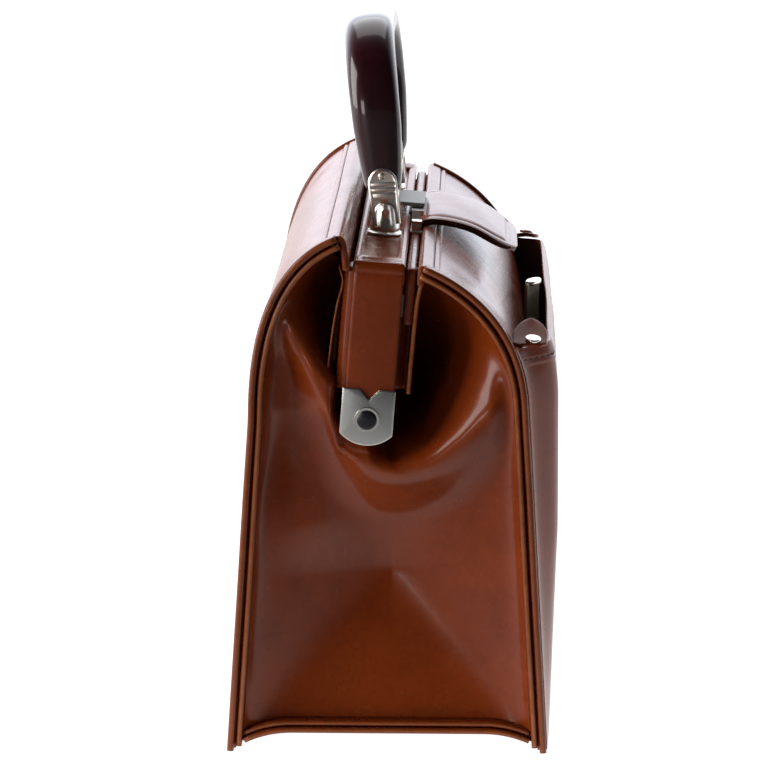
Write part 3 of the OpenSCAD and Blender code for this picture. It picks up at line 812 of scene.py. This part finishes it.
def front_pocket():
    half = np.concatenate([[117.3, 117.25, 117.0, 116.5, 115.8, 115.0, 113.8, 112.2, 110.2, 108,
                            105.5, 102.5], np.linspace(99, 0, 26)])
    xs = np.concatenate([[-117.4] * 3, -half, half[::-1][1:], [117.4] * 3])
    zs = np.concatenate([np.linspace(1.2, 140, 60), np.linspace(141, POCKET_TOP, 16)])
    turn = [0.02, 0.35, 0.7]
    share = np.concatenate([turn, np.ones(len(xs) - 6), turn[::-1]])
    Z, X = np.meshgrid(zs, xs, indexing="ij")
    P = np.dstack([X, along(Z, front_rise) - pocket_stand(X, Z) * share - 0.3, Z])
    down = POCKET_TOP - Z
    hem = 0.45 * smooth((7.0 - down) / 0.8) - 0.5 * bell((down - 5.0) / 0.55)
    P[:, :, 1] -= hem * smooth((116.5 - np.abs(X)) / 1.5)
    dip = 0.7 * bell((np.abs(X) - 112) / 6) * smooth((Z - 143) / 6)
    P[:, :, 2] += 0.5 * bell(X / 90) * smooth((Z - 140) / 9) - dip
    corner = bell((np.abs(X) - 116.6) / 0.9)
    wear_and_highlight = 0.3 * bell((down - 7.2) / 0.5) + 0.45 * bell(down / 0.9) + 0.5 * corner
    ob = sheet_mesh("pocket_leather", P, 1.7, [LEATHER, LINING], wear_and_highlight, (0, -1, 0))
    ride(ob, "bag_body", "leather", "front_pocket", "pocket_hem")
    k = int(np.argmin(np.abs(zs - (POCKET_TOP - 5.0))))
    row = P[k, 8:-8]
    up = np.tile([0, -1.0, 0], (len(row), 1))
    th = stitches("pocket_thread", row, up, 3.0, 2.2, 0.3, -0.12)
    ride(th, "bag_body", "leather_edge")


front_pocket()


def pocket_tabs():
    """A small leather tongue with a press stud, bridging each end of the pocket's mouth."""
    for side, end in ENDS:
        T, Q = grid((0, 1, 26), (-1, 1, 22))
        half = 6.0 * np.sqrt(np.maximum(0.03, 1 - np.maximum(0, (T - 0.4) / 0.6) ** 2))
        half *= np.sqrt(np.maximum(0.5, 1 - np.maximum(0, (0.12 - T) / 0.12) ** 2))
        rise = (6.9 if side < 0 else 2.6) * T ** 1.2 + 0.5 * (1 - Q * Q)
        P = np.dstack([side * (113.2 - 12.4 * T), Q * half - 50.6 - 0.6 * T, 149.6 + rise])
        ob = sheet_mesh(f"tab_{end}", P, 1.5, [LEATHER, LEATHER], None, (0, 0, 1))
        subdivide(ob)
        ride(ob, "bag_body", "leather", f"pocket_tab_{end}")
        c = np.array([side * 111.0, -51.9, 151.3])
        n = unit(np.array([side * 0.2, -0.1, 0.97]))
        e1 = unit(np.cross(n, [0, 1.0, 0]))
        e2 = np.cross(n, e1)
        prof = [(0.02, -0.6), (2.7, -0.6), (2.9, -0.1), (2.9, 0.25), (2.6, 0.55), (2.2, 0.6),
                (2.0, 0.42), (1.2, 0.5), (0.02, 0.55)]
        ob = lathe(f"stud_{end}", prof, lambda x, y, h: c + e1 * x + e2 * y + n * h,
                   POLISHED, 32)
        ride(ob, "bag_body", "polished_nickel", f"tab_snap_{end}")


pocket_tabs()


def magnet_strap():
    Z, X = grid((120, 151, 24), (-8, 8, 16))
    Y = -53.4 - 0.3 * X * smooth((Z - 122) / 10) + 0.3 * noise(X / 5, Z / 8, 61)
    ob = sheet_mesh("magnet_tape", np.dstack([X, Y, Z]), 1.2, [STRAP_CLOTH] * 2, None, (0, -1, 0))
    ride(ob, "bag_body", "lining_cloth", "magnet_strap")
    prof = [(0.02, 0), (4.9, 0), (5.2, 0.3), (5.2, 1.3), (4.8, 1.7), (3.9, 1.75), (3.6, 1.5),
            (0.02, 1.5)]
    ob = lathe("magnet_disc", prof, lambda x, y, h: (x, y * 0.5 - 53.4 - 0.3 * x, 150.2 + h),
               POLISHED, 40)
    ride(ob, "bag_body", "polished_nickel", "pocket_magnet")


magnet_strap()


# ---- frame covers

def framed(v, x, w):
    return (x, *in_frame(v, w))


def rounded_box(v0, v1, x0, x1, r, n=5, r_left=None):
    """A closed outline of (v, x) with rounded corners. r_left: a larger radius at v1, x1."""
    out = []
    rl = r_left or r
    for cv, cx, a0, rad in ((v1 - rl, x1 - rl, 0, rl), (v0 + r, x1 - r, 90, r), (v0 + r, x0 + r, 180, r),
                            (v1 - r, x0 + r, 270, r)):
        for a in np.linspace(math.radians(a0), math.radians(a0 + 90), n):
            out.append((cv + rad * math.cos(a), cx + rad * math.sin(a)))
    return out


def foot_cut(w):
    """How much narrower each side of an arm is below the hinge, where its foot is round."""
    return 9.0 - math.sqrt(max(0.05, 81 - w * w)) if w < 0 else 0.0


def outer_cover():
    made = []
    for side in (-1, 1):
        rings = []
        ws = [-8.7, -8.2, -6.5, -3, 0, 6, 9, 14, 20, 28, 36, 43, 48, 51, 52.2, 52.8, 53.4, 54.2, 55.4,
              56.2, 56.6]
        for w in ws:
            shrink = 0.7 * max(0.0, w - 55.2)
            half = 9 - foot_cut(w) - shrink
            crease = 0.35 * bell((w - 52.6) / 0.5)
            hump = 0.3 * bell((w - 54.4) / 1.2)
            outline = rounded_box(-half, half, 109.8, 116.0 - crease + hump - shrink, 0.9, 5, 1.5)
            rings.append([framed(v, side * x, w) for v, x in outline])
        made.append(loft("arm", rings, LEATHER))
        # top pad that wraps from the arm on to the rail
        rings = []
        for x in np.linspace(115.2, 103.0, 15):
            up = 56.2 + 0.55 * smooth((115.6 - x) / 2) - 0.3 * bell((x - 112.2) / 0.4)
            up += 0.35 * bell((x - 108.5) / 2.2) - 0.5 * smooth((104.2 - x) / 1.2)
            outline = [(-8.2, 55.0), (-8.6, up - 0.9), (-7.9, up - 0.15), (-6, up), (0, up + 0.05),
                       (6, up), (7.9, up - 0.15), (8.7, up - 0.9), (8.3, 55.0)]
            rings.append([framed(v, side * x, w) for v, w in outline])
        made.append(loft("pad", rings, LEATHER))
    # the rail: a channel with two raised borders
    xs = np.linspace(-115.4, 115.4, 90)
    sect = [(-9.2, 49.2), (-9.3, 54.8), (-9.0, 56.0), (-8.3, 56.5), (-7.0, 56.5), (-6.3, 56.1),
            (-6.05, 55.3), (-5.6, 55.05), (0, 55.0), (5.6, 55.05), (6.05, 55.3), (6.3, 56.1),
            (7.0, 56.5), (8.2, 56.5), (9.0, 56.0), (9.3, 54.8), (9.2, 49.2)]
    rings = []
    for x in xs:
        wob = 0.1 * noise(x / 22, 0.3, 71)
        rings.append([framed(v, x, w + (wob if w > 56 else 0)) for v, w in sect])
    wear_and_highlight_on = 0.7 * np.array([0, .2, .6, .3, .3, .5, .1, 0, 0, 0, .1, .5, .3, .3, .6, .2, 0])
    made.append(loft("rail", rings, LEATHER, wear_and_highlight_on))
    ob = join("outer_cover", made)
    ride(ob, "back_frame_half", "leather", "back_frame_leather")


outer_cover()


def inner_cover():
    made = []
    for side in (-1, 1):
        rings = []
        for w in [-8.6, -6.5, -3, 0, 8, 16, 24, 32, 40, 44, 45.6, 46]:
            top = 0.6 * max(0.0, w - 45.4)
            half = 9 - foot_cut(w) - top
            outline = rounded_box(-half, half, 103.5, 109.5 - top, 0.8, 4)
            rings.append([framed(v, side * x, w) for v, x in outline])
        made.append(loft("inner_arm", rings, LEATHER))
    xs = np.concatenate([[-111.4, -111.0, -110.2], np.linspace(-109, 109, 70), [110.2, 111.0, 111.4]])
    sect = [(-9.6, 34.2), (-9.6, 52.6), (-9.9, 53.9), (-10.6, 54.5), (-11.5, 54.7), (-12.6, 54.5),
            (-13.3, 53.9), (-13.5, 52.6), (-13.5, 34.2), (-12.9, 33.6), (-10.2, 33.6)]
    rings = []
    for x in xs:
        cut = {111.4: 1.2, 111.0: 0.5, 110.2: 0.15}.get(round(abs(float(x)), 1), 0.0)
        rings.append([framed(v + cut * (0.5 if v > -11.5 else -0.5) * -1, x,
                                 w - (cut if w > 50 else -cut)) for v, w in sect])
    wear_and_highlight_on = 0.7 * np.array([0, .1, .5, .4, .2, .4, .5, .1, 0, 0, 0])
    made.append(loft("inner_rail", rings, LEATHER, wear_and_highlight_on))
    ob = join("inner_cover", made)
    ride(ob, "front_frame_half", "leather", "front_frame_leather")


inner_cover()


def flange(side, rear):
    """The folded strip that sews the gusset to one frame arm."""
    if rear:
        ws = np.linspace(10.0, 53.2, 40)
        outs = lerp(ws, [10, 14, 32, 42, 46.4, 48.7, 51.6, 53.2],
                    [7.0, 7.0, 6.0, 4.9, 3.8, 3.4, 4.6, 6.0])
        sgn, top_x, half, root = 1, 113.4, 0.42, (104, 100)
    else:
        ws = np.linspace(9.6, 50.5, 36)
        outs = lerp(ws, [9.6, 32, 42, 46, 50.5], [5.6, 5.9, 6.1, 6.5, 7.4])
        sgn, top_x, half, root = -1, 113.6, 0.8, (103, 99)
    b = 9
    rings = []
    for w, o in zip(ws, outs):
        e = o + 0.12 * noise(w / 5, side, 81)
        if rear:
            prof = [(b - 1.2, 114.9), (b - 0.2, 115.2), (b + 1.4, 114.4), (b + 3.0, 112.6),
                    (b + 3.2, 110.5), (b + 3.4, 106.5)]
        else:
            prof = [(b - 1.5, 101), (b - 0.6, 106.8), (b + 0.3, 106.9), (b + 1.5, 106.0),
                    (b + 2.6, 105.0), (b + e - 2.6, 104.4)]
        c = b + e - half
        prof += [(c - half, root[0] + 2), (c - half, top_x - 0.9), (c - 0.6 * half, top_x - 0.2),
                 (c, top_x), (c + 0.6 * half, top_x - 0.2), (c + half, top_x - 0.9),
                 (c + half, root[0]), (b + 3, root[1]), (b - 1.5, root[1])]
        rings.append([framed(sgn * v, side * x, w) for v, x in prof])
    return loft("flange", rings, LEATHER, [0, 0, 0, 0, 0, 0, 0, .5, .8, .9, .8, .4, 0, 0, 0])


for half in ("back", "front"):
    ob = join(f"flanges_{half}", [flange(side, half == "back") for side in (-1, 1)])
    ride(ob, f"{half}_frame_half", "leather")


# ---- hinge hardware

def hinge_hardware():
    foot_r, foot_c = 13.0, 13 - 9.6
    a1 = math.asin(9.5 / foot_r)
    arc = [(foot_r * math.sin(a), foot_c - foot_r * math.cos(a)) for a in np.linspace(-a1, a1, 25)]
    top = [(9.5, 10.6), (9.2, 11.0), (3.6, 11.0), (0.25, 7.4), (-0.25, 7.4), (-3.6, 11.0),
           (-9.2, 11.0), (-9.5, 10.6)]
    outline = arc + top
    for side, end in ENDS:
        pts = [in_frame(v, w) for v, w in outline]
        ob = prism(f"hinge_plate_polished_{end}", pts, side * 115.6, side * 117.2, POLISHED)
        soften(ob, 0.35)
        inner = []
        for v, w in outline:
            if w < 5:
                r = math.hypot(v, w - foot_c)
                v, w = v * (r - 0.55) / r, foot_c + (w - foot_c) * (r - 0.55) / r
            inner.append(in_frame(max(-8.95, min(8.95, v)), w - (0.5 if w > 5 else 0.0)))
        face = prism(f"hinge_face_{end}", inner, side * 117.0, side * 117.32, SATIN)
        soften(face, 0.1)
        ride(ob, "back_frame_half", "satin_nickel", f"hinge_plate_{end}")
        ride(face, "back_frame_half", "satin_nickel")

        def at(x, y, h, s=side):
            return (s * h, *in_frame(x, y))

        ring = [(0.02, 116.4), (4.35, 116.4), (4.5, 117.2), (4.5, 117.9), (4.3, 118.3), (4.05, 118.4),
                (3.8, 118.2), (3.7, 117.6), (0.02, 117.6)]
        ob = lathe(f"rivet_ring_{end}", ring, at, POLISHED, 48)
        ride(ob, "back_frame_half", "polished_nickel")
        cap = [(0.02, 117.3), (3.6, 117.3), (3.6, 118.4), (3.45, 118.75), (3.0, 118.95), (0.02, 119.0)]
        ob = lathe(f"cap_dome_{end}", cap, at, BLACK, 48)
        ride(ob, "back_frame_half", "black_cap", f"rivet_cap_{end}")


hinge_hardware()


# ---- handle

def handle_line():
    """Centre line of the grip in (x, w), from one leg's end over the top to the other."""
    x0, low, top, r = 47.0, 6.0, 63.9, 27.0
    leg = [(-x0, w) for w in np.linspace(low, top - r, 30)]
    turn = [(-x0 + r + r * math.cos(a), top - r + r * math.sin(a))
            for a in np.linspace(math.pi, math.pi / 2, 30)[1:]]
    across = [(x, top) for x in np.linspace(-x0 + r, x0 - r, 30)[1:]]
    pts = np.array(leg + turn + across)
    pts = np.concatenate([pts, (pts * [-1, 1])[::-1][30:]])
    keep = [0]
    for i in range(1, len(pts)):
        if np.linalg.norm(pts[i] - pts[keep[-1]]) > 0.2:
            keep.append(i)
    return resample(relax(resample(pts[keep], 1.2), 8), 1.6)


def grip():
    squareness = 0.78
    line = handle_line()
    a = arc_length(line)
    nrm = normals2(line, 1)
    ang = np.linspace(0, 2 * math.pi, 40, endpoint=False)
    c, s = np.cos(ang), np.sin(ang)
    end = np.minimum(a, a[-1] - a)
    half_v = np.interp(end, [0, 4, 12, 25, 42], [6.4, 7.0, 7.9, 8.9, 9.2])
    half_t = 5.7 + 0.45 * smooth(end / 58)
    cap = np.sqrt(1 - (1 - np.minimum(1.0, end / 5.0)) ** 2)
    v = np.outer(half_v * (0.5 + 0.5 * cap), np.abs(c) ** squareness * np.sign(c))
    h = np.outer(half_t * (0.55 + 0.45 * cap), np.abs(s) ** squareness * np.sign(s))
    y, z = in_handle(v, line[:, 1:] + nrm[:, 1:] * h)
    rings = np.dstack([line[:, :1] + nrm[:, :1] * h, y, z])
    ob = loft("grip_lacquer", rings, LACQUER)
    subdivide(ob)
    ride(ob, "handle", "lacquered_wood", "handle_grip")


grip()


def cheek_outline(r, high, slot, slot_top, low, n=16):
    """A cheek in handle coordinates: a round top, and two prongs down either side of the post."""
    pts = [(slot, low), (r * 0.96, low)]
    for a in np.linspace(0, math.pi, n):
        pts.append((r * math.cos(a), high - r + r * math.sin(a)))
    pts += [(-r * 0.96, low), (-slot, low)]
    for a in np.linspace(math.pi, 0, 9):
        pts.append((slot * math.cos(a), slot_top - slot + slot * math.sin(a)))
    return pts


def stirrups():
    for side, end in ENDS:
        made = []

        def hp(v, w, x, s=side):
            return (s * x, *in_handle(v, w))

        for x_in, x_out, sg in ((53.0, 54.3, 1), (41.0, 39.7, -1)):
            rim = cheek_outline(5.35, 16.4, 3.3, 3.0, -4.6)
            inside = cheek_outline(4.35, 15.4, 4.15, 4.1, -4.0)
            half_way = (np.array(rim) + inside) / 2
            edge = x_out - 0.15 * sg
            levels = ((rim, x_in), (rim, edge), (half_way, x_out + 0.3 * sg), (inside, edge))
            rings = [[hp(v, w, x) for v, w in line] for line, x in levels]
            made.append(loft("cheek", rings, BRIGHT))
            # two cross bars and a bright lower plate
            back = x_out - 0.7 * sg
            for w0, w1 in ((9.9, 11.3), (7.9, 9.2)):
                made.append(prism("bar", ((-4.3, w0), (4.3, w0), (4.3, w1), (-4.3, w1)),
                                  back, x_out + 0.35 * sg, BRIGHT, hp))
            tongue = ((-3.9, 7.3), (3.9, 7.3), (3.9, 5.2), (1.6, 4.6), (1.3, 3.6), (-1.3, 3.6),
                      (-1.6, 4.6), (-3.9, 5.2))
            made.append(prism("tongue", tongue, back, x_out + 0.1 * sg, BRIGHT, hp))
        # strap under the leg between the cheeks, either side of the post
        for v0, v1 in ((-5.3, -4.5), (4.5, 5.3)):
            made.append(prism("strap", ((v0, 5.0), (v1, 5.0), (v1, 6.2), (v0, 6.2)),
                              40.2, 53.8, BRIGHT, hp))
        # screw head at the top of each cheek
        for x_out, sg in ((54.3, 1), (39.7, -1)):
            prof = [(0.02, -0.8), (1.3, -0.8), (1.3, -0.1), (1.0, 0.25), (0.02, 0.35)]
            made.append(lathe("screw", prof, lambda x, y, h, xo=x_out, s2=sg: hp(
                x, 13.6 + y, xo + s2 * h), BRIGHT, 20))
        ob = soften(join(f"stirrup_{end}", made), 0.18, 2)
        ride(ob, "handle", "polished_nickel", f"handle_stirrup_{end}")


stirrups()


def handle_feet():
    for side, end in ENDS:

        def at(x, y, h, s=side):
            return (s * (47 + x), *in_frame(y, h))

        prof = [(0.02, 54.9), (6.9, 54.9), (7.0, 55.5), (6.7, 56.0), (5.5, 56.2), (5.3, 56.7),
                (5.6, 56.9), (5.8, 57.3), (5.7, 57.9), (5.3, 59.3), (4.8, 60.9), (4.3, 62.5),
                (3.85, 64.2), (3.4, 65.7), (2.6, 66.9), (1.4, 67.7), (0.02, 67.95)]
        ob = lathe(f"bell_{end}", prof, at, BRIGHT, 48)
        ride(ob, "back_frame_half", "polished_nickel", f"handle_base_{end}")


handle_feet()


# ---- tongue flap

FLAP = np.array([(-9.6, 179.3), (-11.8, 180.7), (-14.5, 181.3), (-18, 181.1), (-22, 180.5),
                 (-26, 179.7), (-31, 178.1), (-36, 175.4), (-41, 172.1), (-47, 168.1)])
flap_line = relax(resample(FLAP, 0.8), 6)


def flap():
    """The tongue: an upper length from its seam, and a free end with rounded corners."""
    line = flap_line
    a = arc_length(line)
    total = a[-1]
    t_half = 33.0
    corner = 15.0
    cut = float(np.interp(-24.0, line[::-1, 0], a[::-1]))
    nrm = normals2(line, -1)
    if nrm[len(nrm) // 2, 1] < 0:
        nrm = -nrm
    for name, s0, s1, bodies, ends, nodes in (
            ("flap_root_leather", 0.0, cut, ("front_frame_half", "flap_root"),
             ((0, -0.0145, 0.181), (0, -0.0195, 0.181)), ("flap_anchor", "flap_upper")),
            ("flap_tip_leather", cut, total, ("flap_root", "tongue_flap"),
             ((0, -0.027, 0.178), (0, -0.035, 0.178)), ("flap",))):
        ss = np.linspace(s0, s1, max(12, int((s1 - s0) / 0.7)))
        q = np.concatenate([np.linspace(-1, -0.8, 12), np.linspace(-0.77, 0.77, 40),
                            np.linspace(0.8, 1, 12)])
        S, Q = np.meshgrid(ss, q, indexing="ij")
        from_tip = total - S
        past = np.maximum(0, corner - from_tip)
        half = t_half - corner + np.sqrt(np.maximum(0, corner ** 2 - past ** 2))
        X = Q * half
        e = np.minimum(half - np.abs(X), from_tip)
        lift = -0.45 * bell((e - 4.6) / 0.5) + 0.45 * smooth((e - 4.8) / 2.5) - 0.4 * bell(e / 0.7)
        lift = lift + 0.5 * (1 - (X / t_half) ** 2) + 0.2 * noise(X / 12, S / 9, 91)
        lift = lift * smooth(S / 10)
        P = np.dstack([X, follow(S, a, line) + follow(S, a, nrm) * lift[:, :, None]])
        wear_and_highlight = 0.2 * bell(e / 0.8)
        # the flap's cut edge gets the near-black edge material: partly edge paint, partly painted shadow
        # under the raised edge
        ob = sheet_mesh(name, P, 2.5, [LEATHER, LEATHER, EDGE_PAINT_AND_SHADOW], wear_and_highlight, (0, 0, 1))
        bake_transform(ob)
        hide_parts(*nodes)


flap()


# ---- CAD nodes that stay

KEPT = (
    (STEEL, ("back_frame_steel", "front_frame_steel")),
    (POLISHED, ("hinge_rivet_left", "hinge_rivet_right", "handle_pin_left", "handle_pin_right",
                "lock_button", "flap_magnet")),
    (DULL, ("hasp_mount", "hasp_plate")),
    (SATIN, ("inner_hinge_plate_left", "inner_hinge_plate_right", "lock_case",
             "lock_slide_track")),
)
for mat, names in KEPT:
    for name in names:
        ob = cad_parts[name]
        ob.data.materials.clear()
        ob.data.materials.append(mat)
        if mat is not STEEL:
            soften(ob, 0.22, 2, 40)


# ---- stage, light and camera

def stage():
    """A pale floor, grey towards the camera and glowing white from a little in front of the bag on."""
    m, nt = material("stage_paper")
    n = noise_node(nt, coords(nt), 2.0, 2, 0.5)
    at = node(nt, "SeparateXYZ", {0: coords(nt)})
    surface(nt, {"Base Color": mix(nt, n, (0.25, 0.25, 0.25), (0.27, 0.27, 0.27)),
                 "Roughness": 0.9, "Emission Color": (1, 1, 1, 1),
                 "Emission Strength": map_range(nt, at.outputs["X"], -0.33, -0.15, 0, 1, True)})
    V = [(-6000, -6000, 0), (6000, -6000, 0), (6000, 6000, 0), (-6000, 6000, 0)]
    mesh("floor", V, [[0, 1, 2, 3]], m)


stage()


def hang(data, place, way):
    """Puts a light or the camera at a place, looking along way."""
    ob = bpy.data.objects.new(data.name, data)
    ob.location = place
    ob.rotation_mode = "QUATERNION"
    ob.rotation_quaternion = Vector(way).to_track_quat("-Z", "Y")
    bpy.context.scene.collection.objects.link(ob)
    return ob


def area(name, place, target, power, size, size_y, colour=(1, 1, 1)):
    d = bpy.data.lights.new(name, "AREA")
    d.shape = "RECTANGLE"
    d.size = size
    d.size_y = size_y
    d.energy = power
    d.color = colour
    hang(d, place, Vector(target) - Vector(place))


def lights():
    w = bpy.data.worlds.new("studio")
    bpy.context.scene.world = w
    nt = empty_tree(w)
    at = node(nt, "SeparateXYZ", {0: node(nt, "TexCoord", {}).outputs["Generated"]})
    towards_far_end = map_range(nt, at.outputs["X"], -0.2, 0.75, 0.03, 2.2, True)
    less_overhead = map_range(nt, at.outputs["Z"], 0.36, 0.85, 1.0, 0.25, True)
    soft = node(nt, "Background", {"Strength": product(nt, towards_far_end, less_overhead),
                                   "Color": (0.93, 0.96, 1.06, 1)})
    node(nt, "OutputWorld", {"Surface": soft.outputs[0]})
    warm = (1.0, 0.95, 0.92)
    area("overhead", (0.9, 0.0, 1.4), (0.3, 0, 0.1), 9, 1.3, 1.3)
    area("left_box", (-0.38, 1.25, 0.55), (0, 0, 0.12), 24, 0.95, 1.1, (1.0, 0.96, 0.93))
    area("front_card", (-1.2, 0.64, 0.19), (-0.12, 0, 0.08), 1.6, 0.26, 0.3, warm)


lights()


def camera():
    d = bpy.data.cameras.new("camera")
    d.lens = 172.1
    d.sensor_width = 36
    d.clip_start = 0.05
    d.clip_end = 50
    el, yaw = math.radians(12.33), math.radians(1.427)
    look = (math.cos(el) * math.cos(yaw), math.cos(el) * math.sin(yaw), -math.sin(el))
    bpy.context.scene.camera = hang(d, (-1.4089, -0.0334, 0.4162), look)
    bpy.context.scene.view_settings.view_transform = "Standard"


camera()
